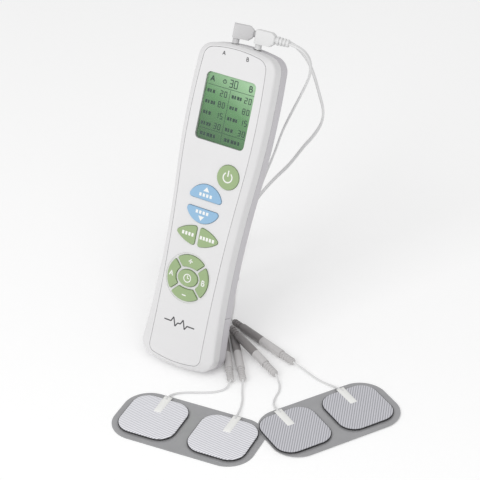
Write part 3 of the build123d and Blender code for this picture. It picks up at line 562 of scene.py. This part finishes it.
wire_points = {
    "branch_wire_1": [
        (39.4, 118.0, 1.7), (39.2, 108.0, 0.9), (37.9, 97.0, 0.75), (37.0, 85.0, 0.75), (36.7, 72.5, 0.75),
        (36.3, 62.0, 0.75), (35.6, 54.0, 0.8), (34.9, 48.3, 1.1), (35.1, 44.3, 1.9), (36.4, 41.5, 2.25),
    ],
    "branch_wire_2": [
        (37.2, 118.0, 1.7), (36.9, 107.0, 0.9), (35.7, 96.0, 0.75), (34.9, 84.0, 0.75), (34.6, 72.5, 0.75),
        (34.2, 63.0, 0.9), (33.2, 54.5, 2.6), (31.9, 46.5, 6.4), (30.9, 38.5, 9.2), (31.2, 31.3, 9.8),
        (34.4, 25.8, 8.9),
    ],
    "branch_wire_3": [
        (31.5, 71.0, 1.7), (31.6, 63.0, 0.9), (31.6, 55.0, 0.75), (32.7, 48.5, 0.8), (33.6, 43.0, 1.3),
        (34.4, 38.8, 2.1), (35.2, 34.9, 2.25),
    ],
    "branch_wire_4": [
        (29.3, 71.0, 1.7), (29.4, 63.0, 0.9), (28.9, 55.5, 0.75), (30.2, 49.3, 0.8), (31.3, 43.2, 1.2),
        (30.6, 38.2, 2.0), (29.3, 33.5, 2.4),
    ],
    "pigtail_1": [
        (34.5, -21.2, 2.8), (33.3, -27.2, 1.3), (26.0, -31.0, 0.75), (17.0, -31.5, 0.75), (8.5, -31.2, 0.75),
        (1.0, -32.2, 0.9), (-3.4, -35.7, 1.8), (-5.2, -41.0, 2.9),
    ],
    "pigtail_2": [
        (42.2, -20.8, 2.8), (41.6, -29.5, 1.0), (42.0, -38.5, 0.75), (40.9, -46.5, 0.9), (39.3, -53.5, 1.8),
        (37.3, -60.3, 2.9),
    ],
    "pigtail_3": [
        (62.7, -15.3, 2.8), (65.2, -21.8, 1.2), (65.1, -29.4, 0.75), (62.0, -36.6, 0.75), (60.7, -43.6, 1.2),
        (62.4, -49.9, 2.3), (65.3, -54.5, 3.3),
    ],
    "pigtail_4": [
        (74.1, -2.6, 2.8), (81.5, -9.4, 1.2), (88.0, -17.2, 0.75), (94.6, -23.2, 1.0), (100.4, -27.9, 2.1),
        (104.3, -32.9, 3.3),
    ],
}
for name, route in wire_points.items():
    points = [table_point(*point) for point in route]
    thickness = 0.0014 if name.startswith("branch") else 0.0013
    wire = lead_curve("cord_" + name, points, thickness / 2, "base", "lead_white", materials["lead_white"],
                      name)

# ==================================== pads ===========================================================
PAD_TURN = {0: radians(-24.4), 1: radians(29.2)}
pads = [
    ("1", 0, (-12.3, -56.7), 1.5, (-5.2, -41.0)), ("2", 0, (30.1, -75.9), 1.5, (37.3, -60.3)),
    ("3", 1, (73.7, -69.1), 1.95, (65.3, -54.5)), ("4", 1, (112.6, -47.4), 1.95, (104.3, -32.9)),
]


PAD_SIZE, PAD_CORNER, PAD_RISE = 37.0, 10.5, 0.9
SLEEVE_WIDTH, SLEEVE_LENGTH, SLEEVE_RISE = 0.0052, 0.017, 0.00075


def cushion_mesh(size, corner, rise, name):
    """A rounded square sheet of cloth with a slightly crowned top and a turned-down rim."""
    bm = bmesh.new()
    outline = rounded(size / 2, size / 2, corner, 10)
    rings = [(1.0, 0.0), (1.0, 0.45), (0.985, 0.62), (0.95, 0.72), (0.8, 0.80), (0.6, 0.86), (0.4, 0.9),
             (0.2, 0.92)]
    loops = []
    for scale, height in rings:
        level = height * rise / 1000
        loops.append([bm.verts.new((x * scale / 1000, y * scale / 1000, level)) for x, y in outline])
    for lower, upper in zip(loops, loops[1:]):
        for i in range(len(outline)):
            j = (i + 1) % len(outline)
            bm.faces.new((lower[i], lower[j], upper[j], upper[i]))
    bm.faces.new(loops[-1])
    bm.faces.new(loops[0][::-1])
    bmesh.ops.recalc_face_normals(bm, faces=bm.faces)
    mesh = bpy.data.meshes.new(name)
    bm.to_mesh(mesh)
    bm.free()
    mesh.shade_smooth()
    mesh.set_sharp_from_angle(angle=radians(50))
    return mesh


def sleeve_mesh(name):
    """The flattened sleeve over the end of a pigtail: a thin arched strip."""
    bm = bmesh.new()
    bmesh.ops.create_grid(bm, x_segments=10, y_segments=14, size=0.5)
    for vertex in bm.verts:
        x, y = vertex.co.x, vertex.co.y
        crown = (1 - (2 * x) ** 2) ** 0.5 * (1 - (2 * y) ** 8)
        vertex.co = Vector((x * SLEEVE_WIDTH, y * SLEEVE_LENGTH, crown * SLEEVE_RISE))
    bmesh.ops.solidify(bm, geom=bm.faces[:], thickness=0.0002)
    mesh = bpy.data.meshes.new(name)
    bm.to_mesh(mesh)
    bm.free()
    mesh.shade_smooth()
    return mesh


for name, card, center, height, entry in pads:
    matrix = Matrix.Translation(table_point(*center, height)) @ Matrix.Rotation(PAD_TURN[card], 4, "Z")
    # Pads on the right-hand card get the darker copy of the cloth: painted shade.
    weave = painted_shade_weave if card else materials["pad_fabric"]
    cushion = cushion_mesh(PAD_SIZE, PAD_CORNER, PAD_RISE, "pad_cover_" + name)
    cover = piece_from("pad_cover_" + name, cushion, "base", weave, matrix)
    local = matrix.inverted() @ table_point(*entry, height)
    piece_from("pad_strip_" + name, sleeve_mesh("pad_strip_" + name), "base", legend_white,
               matrix @ Matrix.Translation((local.x, local.y - 0.0045, 0.0007)))
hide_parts("pad_covers")

# ==================================== studio =========================================================
floor_mesh = bpy.data.meshes.new("floor")
FLOOR_REACH = 3
floor_corners = [(x * FLOOR_REACH, y * FLOOR_REACH, 0) for x, y in ((-1, -1), (1, -1), (1, 1), (-1, 1))]
floor_mesh.from_pydata(floor_corners, [], [(0, 1, 2, 3)])
floor = bpy.data.objects.new("floor", floor_mesh)
scene.collection.objects.link(floor)
floor_material, floor_nodes, floor_links, floor_shader = new_material("floor_white")
mottled(floor_nodes, floor_links, floor_shader, (0.93, 0.93, 0.93), (0.95, 0.95, 0.95), 2)
floor_shader.inputs["Roughness"].default_value = 0.9
floor_shader.inputs["Emission Color"].default_value = (1, 1, 1, 1)
floor_shader.inputs["Emission Strength"].default_value = 0.1
paint(floor, floor_material)

world = bpy.data.worlds.new("studio")
scene.world = world
world.use_nodes = True
world.node_tree.nodes["Background"].inputs["Color"].default_value = (1, 1, 1, 1)
world.node_tree.nodes["Background"].inputs["Strength"].default_value = 0.68


def area_light(name, place, target, size, power):
    """A square light that faces its target."""
    light = bpy.data.lights.new(name, "AREA")
    light.size = size
    light.energy = power
    lamp = bpy.data.objects.new(name, light)
    scene.collection.objects.link(lamp)
    lamp.location = place
    lamp.rotation_euler = (Vector(target) - Vector(place)).to_track_quat("-Z", "Y").to_euler()


TARGET = Vector((-0.01014, 0.0, 0.0989))
area_light("key_light", (-0.9, -1.0, 1.1), TARGET, 0.9, 7.5)
area_light("fill_light", (0.2, -0.9, 1.6), TARGET, 1.2, 5)

ELEVATION, DISTANCE = radians(33.0), 1.08
camera_data = bpy.data.cameras.new("camera")
camera_data.lens = 134.5
camera_data.sensor_width = 36
camera = bpy.data.objects.new("camera", camera_data)
scene.collection.objects.link(camera)
camera.location = TARGET + Vector((0, -cos(ELEVATION), sin(ELEVATION))) * DISTANCE
camera.rotation_euler = (TARGET - camera.location).to_track_quat("-Z", "Y").to_euler()
scene.camera = camera
scene.view_settings.view_transform = "Standard"
